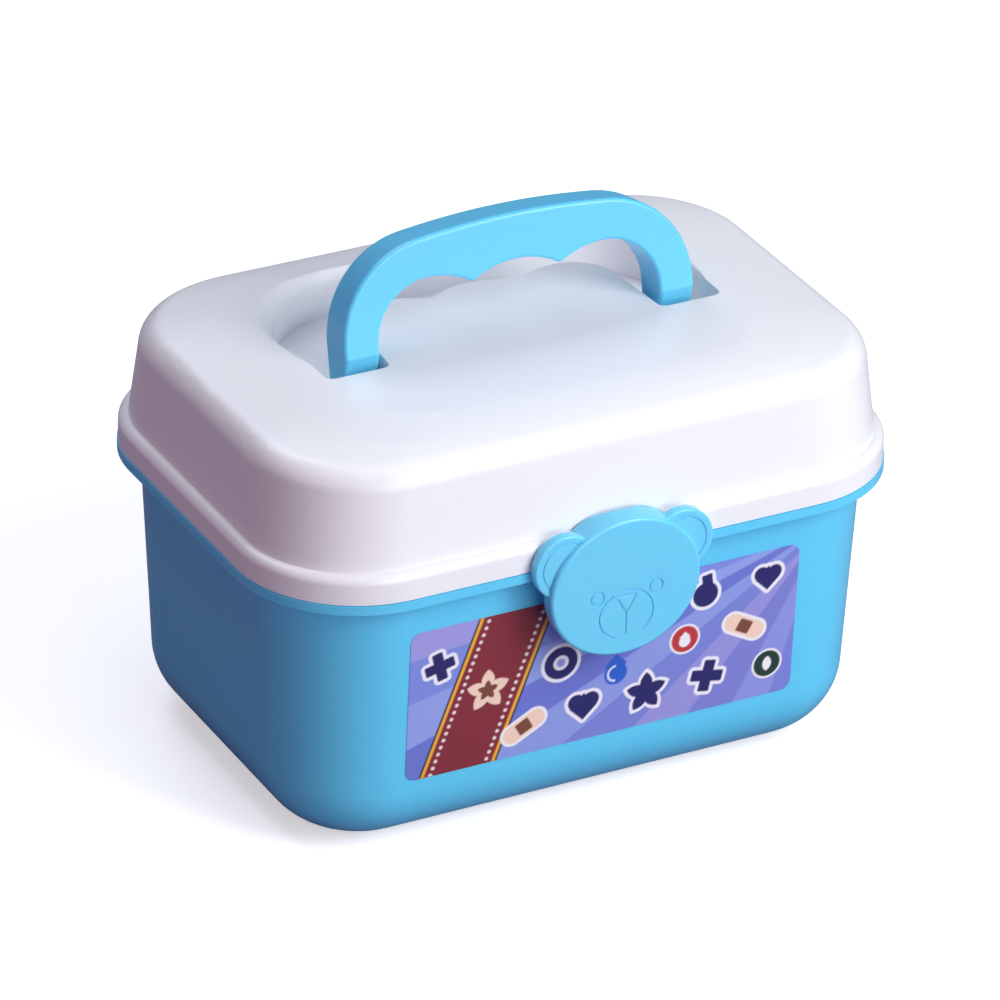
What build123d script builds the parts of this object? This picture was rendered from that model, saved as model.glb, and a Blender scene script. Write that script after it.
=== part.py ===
"""A toy doctor case: a tub, a hinged dome lid, a folding handle and a front latch.

Millimetres. +X runs along the front from left to right, the front faces -Y and +Z is up.
The origin is the centre of the case on the surface that it stands on.
"""

import os
from math import acos, atan2, cos, hypot, radians, sin, sqrt, tan

from build123d import *

# ---- clearances -------------------------------------------------------------------------
seam_gap = 0.3          # between the lid's skirt and the tub's rim
collar_gap = 0.6        # between the tub's collar and the inside of the skirt
pin_hold = 0.02         # radial, where a pin is held
pin_run = 0.08          # radial, where a piece turns on a pin
side_play = 0.3         # beside a knuckle, a barrel or a foot
knuckle_gap = 0.3       # between a hinge knuckle and the rim
latch_gap = 0.4         # between the closed latch and the rim
island_play = 3.6       # between the folded handle and the island
fold_gap = 0.4          # between the folded handle and the recess floor
foot_gap = 1.0          # under the handle's foot
front_gap = 3.5         # between the standing handle and the recess's front edge

# ---- tub --------------------------------------------------------------------------------
rim_half_x = 120.4
rim_half_y = 85.7
rim_corner = 43.7       # seen from above
rim_top = 103.6
rim_thickness = 3.3
overhang_x = 7.4        # from the wall out to the rim's edge, at the sides
overhang_y = 6.4        # the same at the front and the back
wall_corner = 38.9      # the walls' corner radius under the rim
tub_draft = 2.86        # degrees
tub_wall = 2.2
floor_thickness = 2.6
foot_radius = 26.0
collar_height = 4.4
collar_wall = 2.0

# ---- lid --------------------------------------------------------------------------------
skirt_inset = 0.4       # from the rim's edge in to the skirt
skirt_height = 10.0
lid_wall = 2.0
ledge_inset = 3.5       # from the skirt in to the foot of the dome
ledge_radius = 3.2
dome_height = 33.8      # from the ledge up to the shoulder
dome_lean = 2.8         # how far the dome's wall leans in on its way up
shoulder_corner = 42.0  # seen from above
shoulder_radius = 9.5   # seen from the side
crown_inset_x = 37.0    # from the shoulder in to the flat top, at the sides
crown_inset_y = 26.0    # the same at the front and the back
crown_rise = 5.1        # from the shoulder up to the flat top
crown_steep = 0.65      # the share of the rise in the outer half of the slope
crown_corner = 28.0     # of the flat top, seen from above

# ---- handle -----------------------------------------------------------------------------
handle_lean = 12.0      # degrees back from upright, where it stands
handle_depth = 15.0
leg_width = 13.1
scallop_pitch = 33.2    # between the finger scallops
scallop_depth = 4.7
inner_corner = 20.0
outer_corner = 33.5
grip_arch = 300.0       # radius of the grip's top
loop_height = 37.1      # from the pivot up to the scallops
grip_height = 16.4      # from the scallops up to the top of the grip
pivot_inset = 12.0      # from the handle's front face back to its pivot
foot_round = 5.2        # radius of the foot around the pivot
handle_edge = 1.5
cusp_radius = 1.5
bend_gap = 2.3          # from the inner corner down to where the legs start to narrow
pivot_y = -4.8
pivot_depth = 13.8      # from the lid's top down to the handle's pivot
handle_pin_radius = 2.0
boss_radius = 5.0

# ---- handle recess ----------------------------------------------------------------------
recess_half_x = 75.0    # at the front
side_flare = 0.6        # how much wider it is at the start of its back corners
recess_back = 54.8
front_corner = 3.0
back_corner = 41.0
well_back = 2.2         # where the wells for the handle's feet end
rim_radius = 4.8        # of the rounded edge round the back of the recess
rim_facets = 3
fade_front = -6.0       # where that rounded edge starts
island_half_x = 51.3
island_soft = 0.4       # how round the island's back edge is, as a share of the recess's edge

# ---- latch ------------------------------------------------------------------------------
head_half_x = 28.2
head_half_z = 25.3
head_drop = 10.4        # from the rim's top down to the middle of the head
latch_depth = 5.4       # from the latch's back edge out to its face
latch_wall = 2.0
ear_step = 2.0          # how far the ears lie behind the face
ear_x = 21.8
ear_lift = 11.5         # from the middle of the head up to the middle of an ear
ear_radius = 11.8
ear_edge = 0.8
face_edge = 1.2
head_rise = 1.0         # how much higher the head is at its back
pivot_lift = 2.4        # from the ledge up to the latch's pivot
hood_radius = 3.2       # round the pivot, where the latch reaches back over the ledge
lug_inner_x = 3.2
lug_width = 2.4
lug_radius = 1.7
lug_web_top = 0.3       # from the ledge up to the top of a lug's web
pocket_start = -105.0   # degrees round the pivot that each lug's pocket is open
pocket_sweep = 159.0
latch_pin_radius = 1.0
hook_half_x = 9.0
hook_height = 2.6

# ---- face on the latch ------------------------------------------------------------------
line_depth = 0.4
line_width = 0.8
eye_x = 11.1
eye_drop = 1.8          # below the middle of the head
eye_radius = 2.0
nose_drop = 5.3
nose_radius = 5.2       # out to the corners
nose_corner = 1.1
muzzle_drop = 10.1
muzzle_half_x = 10.2
muzzle_half_z = 9.0
muzzle_left = 118.0     # degrees round the muzzle where each line starts
muzzle_left_sweep = 128.0
muzzle_right = -52.0
muzzle_right_sweep = 146.0
mouth_length = 8.6
ear_line_radius = 9.3

# ---- rear hinges ------------------------------------------------------------------------
hinge_x = 60.0
knuckle_radius = 2.75
hinge_pin_radius = 1.0
tub_knuckle = 7.0       # length of each tub knuckle
lid_knuckle = 11.4

# ---- front label ------------------------------------------------------------------------
label_width = 147.6
label_height = 58.2
label_bottom = 28.3
label_corner = 4.0
label_thickness = 0.2

# ---- worked out -------------------------------------------------------------------------
slope = tan(radians(tub_draft))
rim_bottom = rim_top - rim_thickness
foot_half_x = rim_half_x - overhang_x - slope * rim_bottom
foot_half_y = rim_half_y - overhang_y - slope * rim_bottom
foot_corner = wall_corner - slope * rim_bottom
skirt_half_x = rim_half_x - skirt_inset
skirt_half_y = rim_half_y - skirt_inset
skirt_corner = rim_corner - skirt_inset
lid_bottom = rim_top + seam_gap
ledge_z = lid_bottom + skirt_height
shoulder_z = ledge_z + dome_height
shoulder_inset = ledge_inset + dome_lean
ring_z = shoulder_z + crown_rise * crown_steep
ring_corner = (shoulder_corner + crown_corner) / 2
lid_top = shoulder_z + crown_rise
pivot_z = lid_top - pivot_depth
leg_inner = scallop_pitch + inner_corner
leg_outer = leg_inner + leg_width
grip_top = loop_height + grip_height
scallop_radius = (scallop_depth**2 + (scallop_pitch / 2) ** 2) / (2 * scallop_depth)
heel = handle_depth - pivot_inset
recess_floor = pivot_z - heel - fold_gap
well_floor = pivot_z - foot_round - foot_gap
lean = radians(handle_lean)
bend = loop_height - inner_corner - bend_gap
recess_front = pivot_y - pivot_inset / cos(lean) + pivot_depth * tan(lean) - front_gap
head_z = rim_top - head_drop
ear_z = head_z + ear_lift
nose_z = head_z - nose_drop
latch_back = -rim_half_y - latch_gap
latch_face = latch_back - latch_depth
barrel_y = -rim_half_y
barrel_z = ledge_z + pivot_lift
lug_x = lug_inner_x + lug_width / 2
hinge_y = rim_half_y + knuckle_gap + knuckle_radius
hinge_z = rim_top + seam_gap / 2
hinge_length = lid_knuckle + 2 * (side_play + tub_knuckle)
knuckle_offset = (lid_knuckle + tub_knuckle) / 2 + side_play

os.makedirs("parts", exist_ok=True)


def level_edges(part, height):
    """The edges of a part that lie level at one height."""
    return part.edges().filter_by_position(Axis.Z, height - 0.01, height + 0.01)


# ---- tub --------------------------------------------------------------------------------
with BuildPart() as tub:
    with BuildSketch(Plane.XY):
        RectangleRounded(2 * foot_half_x, 2 * foot_half_y, foot_corner)
    extrude(amount=rim_bottom + rim_thickness / 2, taper=-tub_draft)
    fillet(level_edges(tub, 0), foot_radius)
    # rim, and the collar that the lid's skirt drops over
    with BuildSketch(Plane.XY.offset(rim_bottom)):
        RectangleRounded(2 * rim_half_x, 2 * rim_half_y, rim_corner)
    extrude(amount=rim_thickness)
    collar_inset = skirt_inset + lid_wall + collar_gap
    with BuildSketch(Plane.XY.offset(rim_top)):
        RectangleRounded(
            2 * (rim_half_x - collar_inset), 2 * (rim_half_y - collar_inset), rim_corner - collar_inset
        )
        offset(amount=-collar_wall, mode=Mode.SUBTRACT)
    extrude(amount=collar_height)
    # inside
    inset = tub_wall - slope * floor_thickness
    with BuildPart(mode=Mode.SUBTRACT) as cavity:
        with BuildSketch(Plane.XY.offset(floor_thickness)):
            RectangleRounded(2 * (foot_half_x - inset), 2 * (foot_half_y - inset), foot_corner - inset)
        extrude(amount=rim_top - floor_thickness, taper=-tub_draft)
        fillet(level_edges(cavity, floor_thickness), foot_radius - tub_wall)
    # hinge knuckles behind the rim
    for side in (-1, 1):
        for end in (-1, 1):
            with BuildSketch(Plane.YZ.offset(side * hinge_x + end * knuckle_offset - tub_knuckle / 2)):
                with Locations((hinge_y, hinge_z)):
                    Circle(knuckle_radius)
                with Locations((hinge_y, rim_top)):
                    Rectangle(
                        hinge_y - skirt_half_y,
                        rim_top - hinge_z + knuckle_radius,
                        align=(Align.MAX, Align.MAX),
                    )
            extrude(amount=tub_knuckle)
        with BuildSketch(Plane.YZ.offset(side * hinge_x - hinge_length)):
            with Locations((hinge_y, hinge_z)):
                Circle(hinge_pin_radius + pin_hold)
        extrude(amount=2 * hinge_length, mode=Mode.SUBTRACT)
tub.part.label = "tub"
export_step(tub.part, "parts/tub.step")


# ---- lid --------------------------------------------------------------------------------
def lid_block(inset):
    """The lid as a solid block, drawn in from its outside by an inset."""
    rings = (
        (ledge_inset, ledge_inset, ledge_z, skirt_corner - ledge_inset),
        (shoulder_inset, shoulder_inset, shoulder_z, shoulder_corner),
        (shoulder_inset + crown_inset_x / 2, shoulder_inset + crown_inset_y / 2, ring_z, ring_corner),
        (shoulder_inset + crown_inset_x, shoulder_inset + crown_inset_y, lid_top, crown_corner),
    )
    with BuildPart() as block:
        with BuildSketch(Plane.XY.offset(lid_bottom)):
            RectangleRounded(2 * (skirt_half_x - inset), 2 * (skirt_half_y - inset), skirt_corner - inset)
        extrude(amount=skirt_height - inset)
        fillet(level_edges(block, ledge_z - inset), ledge_radius - inset)
        for low, high in zip(rings, rings[1:]):
            for inset_x, inset_y, height, corner in (low, high):
                with BuildSketch(Plane.XY.offset(height - inset)):
                    RectangleRounded(
                        2 * (skirt_half_x - inset_x - inset),
                        2 * (skirt_half_y - inset_y - inset),
                        corner - inset,
                    )
            loft(ruled=True)
        fillet(level_edges(block, shoulder_z - inset), shoulder_radius - inset)
    return block.part


def recess_outline(grow, soft):
    """The recess round the island from above, widened all round and then only round the back."""
    front = recess_front - grow
    back = recess_back + grow + soft
    side = recess_half_x + grow
    wide = side + side_flare + soft
    corner = back_corner + grow
    inner = island_half_x - grow
    thin = inner - island_soft * soft
    inner_radius = thin - scallop_pitch
    tip = pivot_y + loop_height - island_play - grow - island_soft * soft
    lobe = scallop_radius - island_play - grow - island_soft * soft
    notch = tip - lobe + sqrt(lobe**2 - (scallop_pitch / 2) ** 2)
    with BuildSketch() as outline:
        with BuildLine():
            RadiusArc((scallop_pitch / 2, notch), (0, tip), -lobe)
            RadiusArc((scallop_pitch, tip), (scallop_pitch / 2, notch), -lobe)
            RadiusArc((thin, tip - inner_radius), (scallop_pitch, tip), -inner_radius)
            Polyline(
                (thin, tip - inner_radius),
                (inner, front),
                (side, front),
                (side, fade_front),
                (wide, back - corner),
            )
            RadiusArc((wide, back - corner), (wide - corner, back), -corner)
            Line((wide - corner, back), (0, back))
            mirror(about=Plane.YZ)
        make_face()
        fillet(outline.vertices().group_by(Axis.Y)[0], front_corner + grow)
        notches = outline.vertices().filter_by_position(Axis.Y, notch - 0.01, notch + 0.01)
        fillet(notches, cusp_radius + grow + island_soft * soft)
    return outline.sketch


with BuildPart() as lid:
    add(lid_block(0))
    add(lid_block(lid_wall), mode=Mode.SUBTRACT)
    # recess for the folded handle, deeper round the handle's feet, its back edge rounded
    for grow, mode in ((lid_wall, Mode.ADD), (0, Mode.SUBTRACT)):
        top = lid_top - 0.6 * grow
        with BuildSketch(Plane.XY.offset(recess_floor - grow)):
            add(recess_outline(grow, 0))
        extrude(amount=top - rim_radius - recess_floor + grow, mode=mode)
        with BuildSketch(Plane.XY.offset(well_floor - grow)):
            add(recess_outline(grow, 0))
            with Locations((0, well_back + grow)):
                Rectangle(
                    2 * rim_half_x, rim_half_y, align=(Align.CENTER, Align.MAX), mode=Mode.INTERSECT
                )
        extrude(amount=recess_floor - well_floor, mode=mode)
        for facet in range(rim_facets + 1):
            turn = radians(90 * facet / rim_facets)
            with BuildSketch(Plane.XY.offset(top - rim_radius * (1 - sin(turn)))):
                add(recess_outline(grow, rim_radius * (1 - cos(turn))))
        loft(ruled=True, mode=mode)
    with BuildSketch(Plane.XY.offset(lid_top)):
        add(recess_outline(0, rim_radius))
    extrude(amount=1, mode=Mode.SUBTRACT)
    # bosses beside the handle's feet, and the bores for its pins
    for side in (-1, 1):
        for wall_x, foot_x in ((island_half_x, leg_inner), (recess_half_x, leg_outer)):
            reach = abs(wall_x - foot_x) - side_play
            middle = (wall_x + foot_x) / 2 + (side_play if wall_x > foot_x else -side_play) / 2
            with BuildSketch(Plane.YZ.offset(side * middle - reach / 2)):
                with Locations((pivot_y, pivot_z)):
                    Circle(boss_radius)
            extrude(amount=reach)
        with BuildSketch(Plane.YZ.offset(side * leg_inner)):
            with Locations((pivot_y, pivot_z)):
                Circle(handle_pin_radius + pin_hold)
        extrude(amount=recess_half_x + lid_wall - leg_inner, dir=(side, 0, 0), mode=Mode.SUBTRACT)
        with BuildSketch(Plane.YZ.offset(side * leg_outer)):
            with Locations((pivot_y, pivot_z)):
                Circle(handle_pin_radius + pin_hold)
        extrude(amount=leg_outer - island_half_x + lid_wall, dir=(-side, 0, 0), mode=Mode.SUBTRACT)
    # lugs on the ledge that the latch hangs from
    for side in (-1, 1):
        with BuildSketch(Plane.YZ.offset(side * lug_x - lug_width / 2)):
            with Locations((barrel_y, barrel_z)):
                Circle(lug_radius)
            with Locations((-skirt_half_y, ledge_z + lug_web_top)):
                Rectangle(
                    ledge_inset + lid_wall / 2, skirt_height / 3 + lug_web_top, align=(Align.MIN, Align.MAX)
                )
            with Locations((-skirt_half_y - lug_radius / 4, ledge_z - ledge_radius)):
                Rectangle(lug_radius, barrel_z - ledge_z + ledge_radius, align=(Align.MIN, Align.MIN))
        extrude(amount=lug_width)
    with BuildSketch(Plane.YZ.offset(-lug_x - lug_width)):
        with Locations((barrel_y, barrel_z)):
            Circle(latch_pin_radius + pin_hold)
    extrude(amount=2 * (lug_x + lug_width), mode=Mode.SUBTRACT)
    # hinge knuckles behind the skirt
    for side in (-1, 1):
        with BuildSketch(Plane.YZ.offset(side * hinge_x - lid_knuckle / 2)):
            with Locations((hinge_y, hinge_z)):
                Circle(knuckle_radius)
            with Locations((hinge_y, lid_bottom)):
                Rectangle(
                    hinge_y - skirt_half_y + lid_wall / 2,
                    hinge_z + knuckle_radius - lid_bottom,
                    align=(Align.MAX, Align.MIN),
                )
        extrude(amount=lid_knuckle)
    with BuildSketch(Plane.YZ.offset(-rim_half_x)):
        with Locations((hinge_y, hinge_z)):
            Circle(hinge_pin_radius + pin_run)
    extrude(amount=2 * rim_half_x, mode=Mode.SUBTRACT)
lid.part.label = "lid"
export_step(lid.part, "parts/lid.step")

# ---- handle -----------------------------------------------------------------------------
# drawn in its own plane: X across, up the handle from the pivot, and forward out of it
handle_plane = Plane(
    origin=(0, pivot_y, pivot_z), x_dir=(1, 0, 0), z_dir=(0, -cos(lean), sin(lean))
)
side_plane = Plane(
    origin=(0, pivot_y, pivot_z), x_dir=(0, -cos(lean), sin(lean)), z_dir=(-1, 0, 0)
)
arch_centre = grip_top - grip_arch
corner_x = leg_outer - outer_corner
corner_h = arch_centre + sqrt((grip_arch - outer_corner) ** 2 - corner_x**2)
meet = grip_arch / (grip_arch - outer_corner)
cusp_h = loop_height - scallop_depth
with BuildPart() as handle:
    with BuildSketch(handle_plane.offset(-heel)) as loop:
        with BuildLine():
            Line((leg_inner, -foot_round), (leg_outer, -foot_round))
            Line((leg_outer, -foot_round), (leg_outer, corner_h))
            RadiusArc(
                (leg_outer, corner_h),
                (corner_x * meet, arch_centre + (corner_h - arch_centre) * meet),
                -outer_corner,
            )
            RadiusArc(
                (corner_x * meet, arch_centre + (corner_h - arch_centre) * meet), (0, grip_top), -grip_arch
            )
            Line((leg_inner, -foot_round), (leg_inner, loop_height - inner_corner))
            RadiusArc((leg_inner, loop_height - inner_corner), (scallop_pitch, loop_height), -inner_corner)
            RadiusArc((scallop_pitch, loop_height), (scallop_pitch / 2, cusp_h), -scallop_radius)
            RadiusArc((scallop_pitch / 2, cusp_h), (0, loop_height), -scallop_radius)
            mirror(about=Plane.YZ)
        make_face()
        fillet(loop.vertices().filter_by_position(Axis.Y, cusp_h - 0.01, cusp_h + 0.01), cusp_radius)
    extrude(amount=handle_depth)
    # side profile of the legs: full depth above the recess, narrowing to a round foot
    tangent = atan2(bend, pivot_inset) - acos(foot_round / hypot(bend, pivot_inset))
    with BuildSketch(side_plane):
        Circle(foot_round)
        with BuildLine():
            Polyline(
                (0, 0),
                (foot_round * cos(tangent), foot_round * sin(tangent)),
                (pivot_inset, bend),
                (pivot_inset, grip_top),
                (-heel, grip_top),
                (-heel, 0),
                close=True,
            )
        make_face()
    extrude(amount=leg_outer, both=True, mode=Mode.INTERSECT)
    fillet(handle.edges().filter_by(Axis((0, 0, 0), handle_plane.z_dir), reverse=True), handle_edge)
    with BuildSketch(Plane.YZ.offset(-leg_outer)):
        with Locations((pivot_y, pivot_z)):
            Circle(handle_pin_radius + pin_run)
    extrude(amount=2 * leg_outer, mode=Mode.SUBTRACT)
handle.part.label = "handle"
export_step(handle.part, "parts/handle.step")

# ---- latch ------------------------------------------------------------------------------
ear_face = latch_face + ear_step
with BuildPart() as latch:
    # ears, each with a line inside its edge
    with BuildSketch(Plane.XZ.offset(-latch_back)):
        with Locations((-ear_x, ear_z), (ear_x, ear_z)):
            Circle(ear_radius)
    extrude(amount=latch_back - ear_face)
    fillet(latch.edges().filter_by_position(Axis.Y, ear_face - 0.01, ear_face + 0.01), ear_edge)
    with BuildSketch(Plane.XZ.offset(-ear_face - line_depth)):
        with Locations((-ear_x, ear_z), (ear_x, ear_z)):
            Circle(ear_line_radius)
            Circle(ear_line_radius - line_width, mode=Mode.SUBTRACT)
    extrude(amount=2 * line_depth, mode=Mode.SUBTRACT)
    # head
    with BuildSketch(Plane.XZ.offset(-latch_back)):
        with Locations((0, head_z + head_rise / 2)):
            Ellipse(head_half_x, head_half_z + head_rise / 2)
    with BuildSketch(Plane.XZ.offset(-latch_face)):
        with Locations((0, head_z)):
            Ellipse(head_half_x, head_half_z)
    loft(ruled=True)
    fillet(latch.edges().filter_by_position(Axis.Y, latch_face - 0.01, latch_face + 0.01), face_edge)
    # hollow back
    with BuildSketch(Plane.XZ.offset(-latch_back)):
        with Locations((-ear_x, ear_z), (ear_x, ear_z)):
            Circle(ear_radius - latch_wall)
    extrude(amount=latch_back - ear_face - latch_wall, mode=Mode.SUBTRACT)
    with BuildSketch(Plane.XZ.offset(-latch_back)):
        with Locations((0, head_z)):
            Ellipse(head_half_x - latch_wall, head_half_z - latch_wall)
    extrude(amount=latch_depth - latch_wall, mode=Mode.SUBTRACT)
    # hood over the pin: the outline of the head carried back above the ledge
    with BuildPart():
        with BuildSketch(Plane.XZ.offset(-barrel_y - 2 * hood_radius)):
            with Locations((0, head_z + head_rise / 2)):
                Ellipse(head_half_x, head_half_z + head_rise / 2)
        extrude(amount=barrel_y + 2 * hood_radius - latch_back)
        with BuildSketch(Plane.XZ.offset(-latch_back)):
            with Locations((0, head_z)):
                Ellipse(head_half_x - face_edge, head_half_z - face_edge)
        extrude(amount=latch_depth - latch_wall / 2)
        with BuildSketch(Plane.YZ.offset(-rim_half_x)):
            with Locations((barrel_y, barrel_z)):
                Circle(hood_radius)
                Rectangle(latch_depth, 2 * hood_radius, align=(Align.MAX, Align.CENTER))
        extrude(amount=2 * rim_half_x, mode=Mode.INTERSECT)
    # pockets that the lugs on the ledge stand in while the latch swings, and the bore
    for side in (-1, 1):
        with BuildSketch(Plane.YZ.offset(side * lug_x - lug_width / 2 - side_play)):
            with Locations((barrel_y, barrel_z)):
                Circle(lug_radius + latch_gap)
            with BuildLine():
                swing = CenterArc((barrel_y, barrel_z), 1.5 * hood_radius, pocket_start, pocket_sweep)
                Polyline(swing @ 1, (barrel_y, barrel_z), swing @ 0)
            make_face()
        extrude(amount=lug_width + 2 * side_play, mode=Mode.SUBTRACT)
    with BuildSketch(Plane.YZ.offset(-lug_x)):
        with Locations((barrel_y, barrel_z)):
            Circle(latch_pin_radius + pin_run)
    extrude(amount=2 * lug_x, mode=Mode.SUBTRACT)
    # hook under the rim's edge
    with BuildSketch(Plane.XZ.offset(-latch_back)):
        with Locations((0, rim_bottom - side_play)):
            Rectangle(2 * hook_half_x, hook_height, align=(Align.CENTER, Align.MAX))
    extrude(amount=latch_depth - latch_wall / 2)
    # face: two eyes in their rings, a nose, a mouth and two arcs for the muzzle
    with BuildSketch(Plane.XZ.offset(-latch_face - line_depth)) as face:
        with Locations((-eye_x, head_z - eye_drop), (eye_x, head_z - eye_drop)):
            Circle(eye_radius + line_width)
            Circle(eye_radius, mode=Mode.SUBTRACT)
        with Locations((0, nose_z)):
            nose = RegularPolygon(nose_radius, 3, rotation=-90)
            fillet(nose.vertices(), nose_corner)
            RegularPolygon(nose_radius - 2 * line_width, 3, rotation=-90, mode=Mode.SUBTRACT)
        with Locations((0, nose_z - 0.75 * nose_radius)):
            Rectangle(line_width, mouth_length, align=(Align.CENTER, Align.MAX))
        for start, sweep in ((muzzle_left, muzzle_left_sweep), (muzzle_right, muzzle_right_sweep)):
            with BuildLine() as arc:
                EllipticalCenterArc(
                    (0, head_z - muzzle_drop), muzzle_half_x, muzzle_half_z, start, arc_size=sweep
                )
            trace(arc.line, line_width=line_width)
    extrude(amount=2 * line_depth, mode=Mode.SUBTRACT)
latch.part.label = "latch"
export_step(latch.part, "parts/latch.step")


# ---- pins -------------------------------------------------------------------------------
def pin_along_x(middle_x, middle_y, middle_z, radius, length):
    """A steel pin lying along X."""
    with BuildPart() as pin:
        with BuildSketch(Plane.YZ.offset(middle_x - length / 2)):
            with Locations((middle_y, middle_z)):
                Circle(radius)
        extrude(amount=length)
        chamfer(pin.edges().filter_by(GeomType.CIRCLE), radius / 5)
    return pin.part


pin_inner = island_half_x - lid_wall
pin_outer = recess_half_x + lid_wall
for side, name in ((-1, "left"), (1, "right")):
    handle_pin = pin_along_x(
        side * (pin_inner + pin_outer) / 2, pivot_y, pivot_z, handle_pin_radius, pin_outer - pin_inner
    )
    handle_pin.label = "handle_pin_" + name
    export_step(handle_pin, "parts/handle_pin_" + name + ".step")
    hinge_pin = pin_along_x(side * hinge_x, hinge_y, hinge_z, hinge_pin_radius, hinge_length - 1)
    hinge_pin.label = "hinge_pin_" + name
    export_step(hinge_pin, "parts/hinge_pin_" + name + ".step")

latch_pin = pin_along_x(
    0, barrel_y, barrel_z, latch_pin_radius, 2 * (lug_x + lug_width / 2) - 0.4
)
latch_pin.label = "latch_pin"
export_step(latch_pin, "parts/latch_pin.step")

# ---- front label ------------------------------------------------------------------------
wall_plane = Plane(
    origin=(0, -foot_half_y, 0),
    x_dir=(1, 0, 0),
    z_dir=(0, -cos(radians(tub_draft)), -sin(radians(tub_draft))),
)
with BuildPart() as front_label:
    with BuildSketch(wall_plane):
        with Locations((0, label_bottom + label_height / 2)):
            RectangleRounded(label_width, label_height, label_corner)
    extrude(amount=label_thickness)
front_label.part.label = "front_label"
export_step(front_label.part, "parts/front_label.step")
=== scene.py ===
"""Looks for the toy doctor case: moulded plastic shells, a printed label, plain studio light."""

import math

import bmesh
import bpy
import numpy as np
from mathutils import Matrix, Vector


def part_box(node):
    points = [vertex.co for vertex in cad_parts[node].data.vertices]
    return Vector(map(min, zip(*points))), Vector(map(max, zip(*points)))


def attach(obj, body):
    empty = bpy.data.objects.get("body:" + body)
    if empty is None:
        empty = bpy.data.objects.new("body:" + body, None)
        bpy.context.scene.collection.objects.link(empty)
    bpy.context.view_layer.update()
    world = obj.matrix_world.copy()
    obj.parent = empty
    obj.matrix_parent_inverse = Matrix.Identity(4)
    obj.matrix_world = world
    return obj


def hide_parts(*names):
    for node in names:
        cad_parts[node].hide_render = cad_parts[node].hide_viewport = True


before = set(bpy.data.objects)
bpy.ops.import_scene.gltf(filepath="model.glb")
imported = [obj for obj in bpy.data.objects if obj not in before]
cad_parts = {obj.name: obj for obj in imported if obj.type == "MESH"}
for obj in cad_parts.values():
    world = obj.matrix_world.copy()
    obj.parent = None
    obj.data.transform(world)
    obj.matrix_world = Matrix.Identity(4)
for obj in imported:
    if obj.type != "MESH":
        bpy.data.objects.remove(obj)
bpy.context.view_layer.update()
MM = 0.001


# ---- small helpers ----------------------------------------------------------------------
def colour(hex_code, alpha=1.0):
    """An sRGB hex value as linear red, green, blue and alpha."""
    channels = []
    for start in (1, 3, 5):
        value = int(hex_code[start:start + 2], 16) / 255
        channels.append(value / 12.92 if value <= 0.04045 else ((value + 0.055) / 1.055) ** 2.4)
    return (*channels, alpha)


def node(tree, kind, settings=None, links=None):
    """One shader node with its settings, and its inputs set to values or linked to outputs."""
    made = tree.nodes.new(kind)
    for name, value in (settings or {}).items():
        setattr(made, name, value)
    for name, value in (links or {}).items():
        if isinstance(value, bpy.types.NodeSocket):
            tree.links.new(value, made.inputs[name])
        else:
            made.inputs[name].default_value = value
    return made


def new_material(name):
    """An empty node material and its tree."""
    made = bpy.data.materials.new(name)
    made.use_nodes = True
    made.node_tree.nodes.clear()
    return made, made.node_tree


def scale_of(size):
    """The scale of a texture whose features are so many millimetres across."""
    return 1 / (size * MM)


# ---- camera: above the front left, with a long lens -------------------------------------
azimuth, elevation, roll = -0.4907, 0.4971, 0.0230     # radians
target = np.array([0.3046, 0.0, 81.3792])
distance = 2493.0645
focal_length = 7.2652874        # in widths of the sensor
sensor_width = 36

back = np.array([
    math.sin(azimuth) * math.cos(elevation),
    -math.cos(azimuth) * math.cos(elevation),
    math.sin(elevation),
])
level = np.array([math.cos(azimuth), math.sin(azimuth), 0.0])
upright = np.cross(back, level)
right = level * math.cos(roll) + upright * math.sin(roll)
up = upright * math.cos(roll) - level * math.sin(roll)
camera_data = bpy.data.cameras.new("camera")
camera_data.sensor_width = sensor_width
camera_data.lens = focal_length * sensor_width
camera_data.clip_end = 20
camera = bpy.data.objects.new("camera", camera_data)
bpy.context.scene.collection.objects.link(camera)
camera.matrix_world = Matrix([
    (right[i], up[i], back[i], (target + back * distance)[i] * MM) for i in range(3)
] + [(0, 0, 0, 1)])
bpy.context.scene.camera = camera
bpy.context.scene.view_settings.view_transform = "Standard"

# ---- materials --------------------------------------------------------------------------
flow_size = 83.3        # across one drift of tone in the moulded plastic
gloss_swing = 0.03      # how far its roughness drifts up and down
peel_size = 4.17        # across one bump of the orange peel
peel_height = 0.015
glow_reach = 6.0        # how far light travels inside the plastic
pebble_size = 1.11      # across one bump of the label's film
pebble_height = 0.01
brush_pitch = 0.25      # between the fine rings on the pins
brush_length = 3.33     # along each of them


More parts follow.
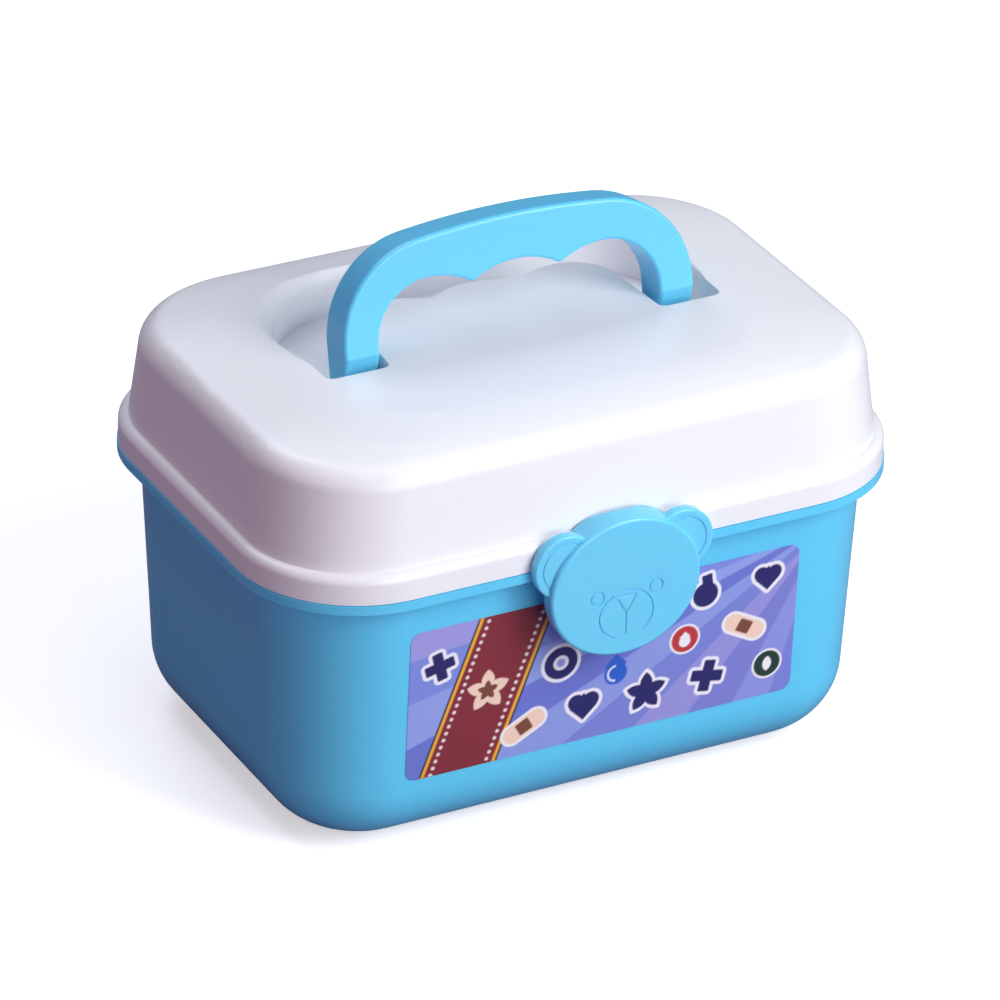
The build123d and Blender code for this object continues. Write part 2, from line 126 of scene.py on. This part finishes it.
def moulded_polypropylene(name, body_hex, drift_hex, glow, tint, roughness):
    """Injection-moulded polypropylene: a soft gloss over a milky body that lets a little light in.

    The mould's polish leaves a faint orange peel about 4 mm across, and the flow of the plastic
    leaves slow drifts of tone and gloss about 80 mm across. The tint is how deep each colour of
    light goes.
    """
    made, tree = new_material(name)
    place = node(tree, "ShaderNodeTexCoord").outputs["Object"]
    drift = node(tree, "ShaderNodeTexNoise", {}, {
        "Vector": place, "Scale": scale_of(flow_size), "Detail": 1.0,
    })
    mix = node(tree, "ShaderNodeMix", {"data_type": "RGBA"}, {
        "Factor": drift.outputs["Fac"], "A": colour(body_hex), "B": colour(drift_hex),
    })
    peel = node(tree, "ShaderNodeTexNoise", {}, {
        "Vector": place, "Scale": scale_of(peel_size), "Detail": 1.0,
    })
    skin = node(tree, "ShaderNodeBump", {}, {
        "Height": peel.outputs["Fac"], "Strength": 0.25, "Distance": peel_height * MM,
    })
    gloss = node(tree, "ShaderNodeMapRange", {}, {
        "Value": drift.outputs["Fac"],
        "To Min": roughness - gloss_swing,
        "To Max": roughness + gloss_swing,
    })
    shader = node(tree, "ShaderNodeBsdfPrincipled", {}, {
        "Base Color": mix.outputs["Result"],
        "Roughness": gloss.outputs["Result"],
        "Normal": skin.outputs["Normal"],
        "IOR": 1.49,
        "Subsurface Weight": glow,
        "Subsurface Radius": tint,
        "Subsurface Scale": glow_reach * MM,
    })
    node(tree, "ShaderNodeOutputMaterial", {}, {"Surface": shader.outputs["BSDF"]})
    return made


def printed_vinyl():
    """Screen-printed vinyl: ink colours under a clear satin film with a fine pebble."""
    made, tree = new_material("printed_vinyl")
    place = node(tree, "ShaderNodeTexCoord").outputs["Object"]
    ink = node(tree, "ShaderNodeAttribute", {"attribute_name": "print"})
    pebble = node(tree, "ShaderNodeTexNoise", {}, {
        "Vector": place, "Scale": scale_of(pebble_size), "Detail": 1.0,
    })
    film = node(tree, "ShaderNodeBump", {}, {
        "Height": pebble.outputs["Fac"], "Strength": 0.2, "Distance": pebble_height * MM,
    })
    shader = node(tree, "ShaderNodeBsdfPrincipled", {}, {
        "Base Color": ink.outputs["Color"],
        "Roughness": 0.32,
        "Normal": film.outputs["Normal"],
        "IOR": 1.52,
    })
    node(tree, "ShaderNodeOutputMaterial", {}, {"Surface": shader.outputs["BSDF"]})
    return made


def drawn_steel():
    """Drawn steel wire: grey metal, brushed in fine rings round the pins, which lie along X."""
    made, tree = new_material("drawn_steel")
    place = node(tree, "ShaderNodeTexCoord").outputs["Object"]
    rings = node(tree, "ShaderNodeMapping", {}, {
        "Vector": place,
        "Scale": (scale_of(brush_pitch), scale_of(brush_length), scale_of(brush_length)),
    })
    grain = node(tree, "ShaderNodeTexNoise", {}, {"Vector": rings.outputs["Vector"], "Scale": 1.0})
    rough = node(tree, "ShaderNodeMapRange", {}, {
        "Value": grain.outputs["Fac"], "To Min": 0.25, "To Max": 0.45,
    })
    shader = node(tree, "ShaderNodeBsdfPrincipled", {}, {
        "Base Color": colour("#c2c1be"), "Metallic": 1.0, "Roughness": rough.outputs["Result"],
    })
    node(tree, "ShaderNodeOutputMaterial", {}, {"Surface": shader.outputs["BSDF"]})
    return made


white_shell = moulded_polypropylene(
    "white_polypropylene", "#f2f3f7", "#eff1f5", 0.10, (0.4, 0.4, 0.4), 0.31
)
blue_shell = moulded_polypropylene(
    "light_blue_polypropylene", "#69d2ff", "#62d0ff", 0.30, (0.12, 0.5, 0.9), 0.24
)
blue_grip = moulded_polypropylene(
    "sky_blue_polypropylene", "#6ccef4", "#67ccf3", 0.55, (0.12, 0.6, 1.0), 0.31
)
blue_buckle = moulded_polypropylene(
    "pale_blue_polypropylene", "#76d4ff", "#70d2ff", 0.40, (0.12, 0.6, 1.0), 0.24
)
vinyl = printed_vinyl()
steel = drawn_steel()

# ---- moulded pieces and pins ------------------------------------------------------------
merge_gap = 0.002       # between points that become one
flat_turn = 0.1         # degrees between facets that become one


def coat(source, material):
    """A CAD node's material in place of the one that it came with."""
    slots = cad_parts[source].data.materials
    slots.clear()
    slots.append(material)


def smooth_copy(name, source, material, body, sharp=32.0):
    """A merged copy of a CAD node, smooth except where it turns by more than sharp degrees."""
    coat(source, material)
    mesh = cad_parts[source].data.copy()
    mesh.name = name
    shell = bmesh.new()
    shell.from_mesh(mesh)
    bmesh.ops.remove_doubles(shell, verts=shell.verts, dist=merge_gap * MM)
    bmesh.ops.dissolve_limit(
        shell, angle_limit=math.radians(flat_turn), verts=shell.verts, edges=shell.edges
    )
    shell.to_mesh(mesh)
    shell.free()
    mesh.polygons.foreach_set("use_smooth", np.ones(len(mesh.polygons), dtype=bool))
    mesh.set_sharp_from_angle(angle=math.radians(sharp))
    piece = bpy.data.objects.new(name, mesh)
    bpy.context.scene.collection.objects.link(piece)
    weighted = piece.modifiers.new("even_normals", "WEIGHTED_NORMAL")
    weighted.keep_sharp = True
    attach(piece, body)
    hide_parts(source)


smooth_copy("tub_shell", "tub", blue_shell, "tub_body")
smooth_copy("lid_shell", "lid", white_shell, "lid_body", 35.0)
smooth_copy("grip", "handle", blue_grip, "handle_body")
smooth_copy("buckle", "latch", blue_buckle, "latch_body")
for pin in (
    "handle_pin_left", "handle_pin_right", "latch_pin", "hinge_pin_left", "hinge_pin_right"
):
    coat(pin, steel)
coat("front_label", vinyl)

# ---- front label: sizes in millimetres --------------------------------------------------
label_low, label_high = (np.array(corner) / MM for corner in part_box("front_label"))
label_width = label_high[0] - label_low[0]
label_height = 58.2     # up the leaning wall
label_corner = 4.0
label_lean = math.radians(2.86)
label_thickness = 0.19
label_columns = 430
label_rows = 170
ink_edge = 0.3          # over which one ink gives way to the next


def cover(edge):
    """How much ink lies where, from the distance to a shape's edge, negative inside it."""
    return np.clip(0.5 - edge / ink_edge, 0, 1)


def lay(ink, edge, hex_code, strength=1.0):
    """Ink laid inside a shape's edge, over what is printed so far."""
    share = (cover(edge) * strength)[..., None]
    ink[:] = ink * (1 - share) + np.array(colour(hex_code)) * share


def disc(x, z, middle_x, middle_z, radius):
    """Distance to a disc's edge."""
    return np.hypot(x - middle_x, z - middle_z) - radius


def ring(x, z, middle_x, middle_z, radius, half_width):
    """Distance to the edge of a ring along a circle."""
    return np.abs(disc(x, z, middle_x, middle_z, radius)) - half_width


def block(x, z, middle_x, middle_z, half_x, half_z, corner, turn=0.0):
    """Distance to the edge of a rectangle with round corners, turned by an angle."""
    along = (x - middle_x) * math.cos(turn) + (z - middle_z) * math.sin(turn)
    across = (z - middle_z) * math.cos(turn) - (x - middle_x) * math.sin(turn)
    over_x = np.abs(along) - half_x + corner
    over_z = np.abs(across) - half_z + corner
    outside = np.hypot(np.maximum(over_x, 0), np.maximum(over_z, 0))
    return outside + np.minimum(np.maximum(over_x, over_z), 0) - corner


def plus(x, z, middle_x, middle_z, half, arm, turn=0.0):
    """Distance to the edge of two crossed bars."""
    return np.minimum(
        block(x, z, middle_x, middle_z, half, arm, 0.6, turn),
        block(x, z, middle_x, middle_z, arm, half, 0.6, turn),
    )


def heart(x, z, middle_x, middle_z, size):
    """Distance to a heart: two discs over a square that stands on its corner."""
    lobes = np.minimum(
        disc(x, z, middle_x - 0.5 * size, middle_z + 0.25 * size, 0.56 * size),
        disc(x, z, middle_x + 0.5 * size, middle_z + 0.25 * size, 0.56 * size),
    )
    square = 0.68 * size
    point = block(x, z, middle_x, middle_z - 0.14 * size, square, square, 0.1, math.pi / 4)
    return np.minimum(lobes, point)


def star(x, z, middle_x, middle_z, radius):
    """Distance, nearly, to a star: the radius shrinks between its five points."""
    angle = np.arctan2(x - middle_x, z - middle_z)
    fold = np.abs((angle * 5 / (2 * math.pi) + 0.5) % 1 - 0.5) * 2
    return (np.hypot(x - middle_x, z - middle_z) - radius * (1 - 0.48 * fold)) * 0.8


def leaf(x, z, middle_x, middle_z):
    """Distance to the edge of what two discs share."""
    return np.maximum(
        disc(x, z, middle_x - 1.6, middle_z, 3.3), disc(x, z, middle_x + 1.6, middle_z, 3.3)
    )


def drop(x, z, middle_x, middle_z, radius):
    """Distance to the edge of a drop: a disc under a square that stands on its corner."""
    square = 0.67 * radius
    point = block(x, z, middle_x, middle_z + 0.8 * radius, square, square, 0.1, math.pi / 4)
    return np.minimum(disc(x, z, middle_x, middle_z, radius), point)


def print_wedges(ink, x, z):
    """Pale and deep wedges that fan out from a point past the top right corner."""
    fan_x, fan_z = 84, 64
    turn = np.degrees(np.arctan2(z - fan_z, x - fan_x))
    reach = np.hypot(x - fan_x, z - fan_z)
    sides = (-180, -174, -168, -162, -155, -147, -138, -128, -117, -106, -94)
    tones = (
        "#a39fe2", "#7f8fe0", "#94a6e8", "#6a78cf", "#8fa0e4",
        "#7b86d6", "#9a98dd", "#7d83d2", "#9098e2", "#7a86da",
    )
    for low, high, tone in zip(sides, sides[1:], tones):
        lay(ink, np.radians(np.maximum(low - turn, turn - high)) * reach, tone, 0.9)


def print_band(ink, x, z):
    """A slanted maroon band with dark and yellow edges, two lines of dots and a cream star."""
    band_x, band_z, slant = -44, label_height / 2, 0.35
    across = np.abs(x - band_x - slant * (z - band_z)) / math.hypot(1, slant)
    along = (z - band_z + slant * (x - band_x)) / math.hypot(1, slant)
    for half_width, tone in ((13.9, "#2b2f4c"), (13.2, "#f0b033"), (12.0, "#86323a")):
        lay(ink, across - half_width, tone)
    dot_pitch, dot_line = 2.7, 9.8
    beside = (along / dot_pitch % 1 - 0.5) * dot_pitch
    lay(ink, disc(beside, across, 0, dot_line, 0.7), "#f1dfe2")
    lay(ink, star(x, z, band_x, band_z, 8.2), "#f6d5c2")
    lay(ink, star(x, z, band_x, band_z, 4.0), "#7d4c3a")


def print_shapes(ink, x, z):
    """Scattered in navy with white edges: two pluses, a ring, two hearts, a star and a flask."""
    shapes = (
        plus(x, z, -62.5, 43.0, 5.6, 2.0, 0.25),
        ring(x, z, -16.5, 33.0, 4.6, 1.7),
        heart(x, z, -7.0, 14.0, 5.6),
        star(x, z, 17.0, 13.0, 7.8),
        np.minimum(disc(x, z, 38.0, 46.5, 4.8), block(x, z, 38.4, 52.0, 2.0, 2.4, 0.4, 0.15)),
        plus(x, z, 40.5, 13.5, 6.2, 2.2, -0.2),
        heart(x, z, 62.0, 48.0, 5.0),
    )
    for shape in shapes:
        lay(ink, shape - 1.3, "#f3f1fa")
        lay(ink, shape, "#2a2a68")


def print_discs(ink, x, z):
    """A red disc with a white drop on it and a green one with a leaf."""
    for middle_x, middle_z, tone, mark in (
        (31.0, 30.5, "#c23b3f", drop(x, z, 31.0, 29.6, 2.2)),
        (64.0, 12.5, "#233f35", leaf(x, z, 64.0, 12.5)),
    ):
        lay(ink, disc(x, z, middle_x, middle_z, 5.9), "#f3f3f6")
        lay(ink, disc(x, z, middle_x, middle_z, 5.1), tone)
        lay(ink, mark, "#f3f3f6")


def print_plasters(ink, x, z):
    """Two sticking plasters, cream with a brown pad."""
    for middle_x, middle_z, turn in ((-29.5, 11.0, 0.5), (54.0, 30.0, -0.5)):
        strip = block(x, z, middle_x, middle_z, 8.4, 3.4, 3.4, turn)
        lay(ink, strip - 1.1, "#f5f2f6")
        lay(ink, strip, "#f6d5c2")
        lay(ink, block(x, z, middle_x, middle_z, 2.7, 2.5, 0.6, turn), "#7d4c3a")


def print_drop(ink, x, z):
    """A blue drop under the latch, with a pale arc in it."""
    drop_x, drop_z = 4.8, 23.5
    lay(ink, drop(x, z, drop_x, drop_z, 4.4), "#2f63cd")
    lay(ink, np.maximum(ring(x, z, drop_x, drop_z, 2.9, 0.4), x - drop_x), "#dfe8fb")


def label_ink(x, z):
    """The print, from the centre of the label across and from its bottom up."""
    ink = np.empty((*x.shape, 4))
    ink[:] = colour("#8c92dc")
    for layer in (
        print_wedges, print_band, print_shapes, print_discs, print_plasters, print_drop
    ):
        layer(ink, x, z)
    return ink


def label_sheet():
    """The label's front as a grid of rows whose half width shrinks by a circle at the corners.

    Across: x = u w(v), where w is half the label's width, less what the corner's circle takes
    off. Up: v runs along the leaning wall. The rim is carried back to the wall and closed there.
    """
    rise = np.linspace(0, label_height, label_rows)
    into = np.maximum(label_corner - np.minimum(rise, label_height - rise), 0)
    half = label_width / 2 - label_corner + np.sqrt(label_corner**2 - into**2)
    across, upward = np.meshgrid(np.linspace(-1, 1, label_columns), rise)
    x = across * half[:, None]
    ink = label_ink(x, upward).reshape(-1, 4)
    front = np.stack([
        x,
        label_low[1] + (label_height - upward) * math.sin(label_lean),
        label_low[2] + upward * math.cos(label_lean),
    ], axis=-1).reshape(-1, 3)
    index = np.arange(len(front)).reshape(label_rows, label_columns)
    quads = np.stack(
        [index[:-1, :-1], index[:-1, 1:], index[1:, 1:], index[1:, :-1]], axis=-1
    ).reshape(-1, 4)
    rim = np.concatenate([index[0, :-1], index[:-1, -1], index[-1, :0:-1], index[:0:-1, 0]])
    inward = np.array([0, math.cos(label_lean), math.sin(label_lean)])
    behind = front[rim] + inward * label_thickness
    behind_index = len(front) + np.arange(len(rim))
    skirt = np.stack([rim, behind_index, np.roll(behind_index, -1), np.roll(rim, -1)], axis=-1)
    points = np.concatenate([front, behind]) * MM
    mesh = bpy.data.meshes.new("label_sheet")
    mesh.from_pydata(points.tolist(), [], quads.tolist() + skirt.tolist() + [behind_index.tolist()])
    layer = mesh.color_attributes.new("print", "FLOAT_COLOR", "POINT")
    layer.data.foreach_set("color", np.concatenate([ink, ink[rim]]).ravel())
    mesh.materials.append(vinyl)
    piece = bpy.data.objects.new("label_sheet", mesh)
    bpy.context.scene.collection.objects.link(piece)
    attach(piece, "tub_body")
    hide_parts("front_label")


label_sheet()

# ---- floor: white paper to the camera, dim mauve to what the case reflects --------------
bpy.ops.mesh.primitive_plane_add(size=8)
floor = bpy.context.object
floor.name = "floor"
paper, paper_tree = new_material("pale_paper")
seen = node(paper_tree, "ShaderNodeLightPath")
sheet = node(paper_tree, "ShaderNodeBsdfDiffuse", {}, {"Color": colour("#f6f6f6")})
dim = node(paper_tree, "ShaderNodeBsdfDiffuse", {}, {"Color": colour("#867c96")})
lift = node(paper_tree, "ShaderNodeEmission", {}, {"Color": (1, 1, 1, 1), "Strength": 0.5})
both = node(paper_tree, "ShaderNodeAddShader", {}, {0: sheet.outputs[0], 1: lift.outputs[0]})
picked = node(paper_tree, "ShaderNodeMixShader", {}, {
    0: seen.outputs["Is Camera Ray"], 1: dim.outputs[0], 2: both.outputs[0],
})
node(paper_tree, "ShaderNodeOutputMaterial", {}, {"Surface": picked.outputs[0]})
floor.data.materials.append(paper)


# ---- light: metres and watts ------------------------------------------------------------
def softbox(name, place, aim_height, side, power, hex_code):
    """A square lamp that faces a point above the origin."""
    data = bpy.data.lights.new(name, "AREA")
    data.shape = "SQUARE"
    data.size = side
    data.energy = power
    data.color = colour(hex_code)[:3]
    lamp = bpy.data.objects.new(name, data)
    bpy.context.scene.collection.objects.link(lamp)
    lamp.location = place
    towards = Vector((0, 0, aim_height)) - Vector(place)
    lamp.rotation_euler = towards.to_track_quat("-Z", "Y").to_euler()


softbox("key", (0.75, -1.15, 1.15), 0.08, 0.8, 14.5, "#ffffff")
softbox("low_key", (0.9, -1.5, 0.7), 0.08, 0.9, 10.5, "#ffffff")
softbox("front", (0.1, -1.7, 0.5), 0.1, 0.9, 8, "#ffffff")
softbox("back", (-0.2, 1.0, 1.5), 0.1, 0.9, 10, "#e6f0ff")
softbox("top", (0, 0, 1.8), 0.1, 1.2, 6.5, "#e6f0ff")
softbox("left", (-1.5, -0.3, 0.7), 0.1, 1.0, 3.0, "#ffa0b8")

world = bpy.data.worlds.new("studio")
bpy.context.scene.world = world
world.use_nodes = True
world.node_tree.nodes.clear()
rays = node(world.node_tree, "ShaderNodeLightPath")
ambient = node(world.node_tree, "ShaderNodeBackground", {}, {
    "Color": colour("#f6f0f8"), "Strength": 0.10,
})
plain = node(world.node_tree, "ShaderNodeBackground", {}, {"Color": (1, 1, 1, 1), "Strength": 1.0})
choice = node(world.node_tree, "ShaderNodeMixShader", {}, {
    0: rays.outputs["Is Camera Ray"], 1: ambient.outputs[0], 2: plain.outputs[0],
})
node(world.node_tree, "ShaderNodeOutputWorld", {}, {"Surface": choice.outputs[0]})
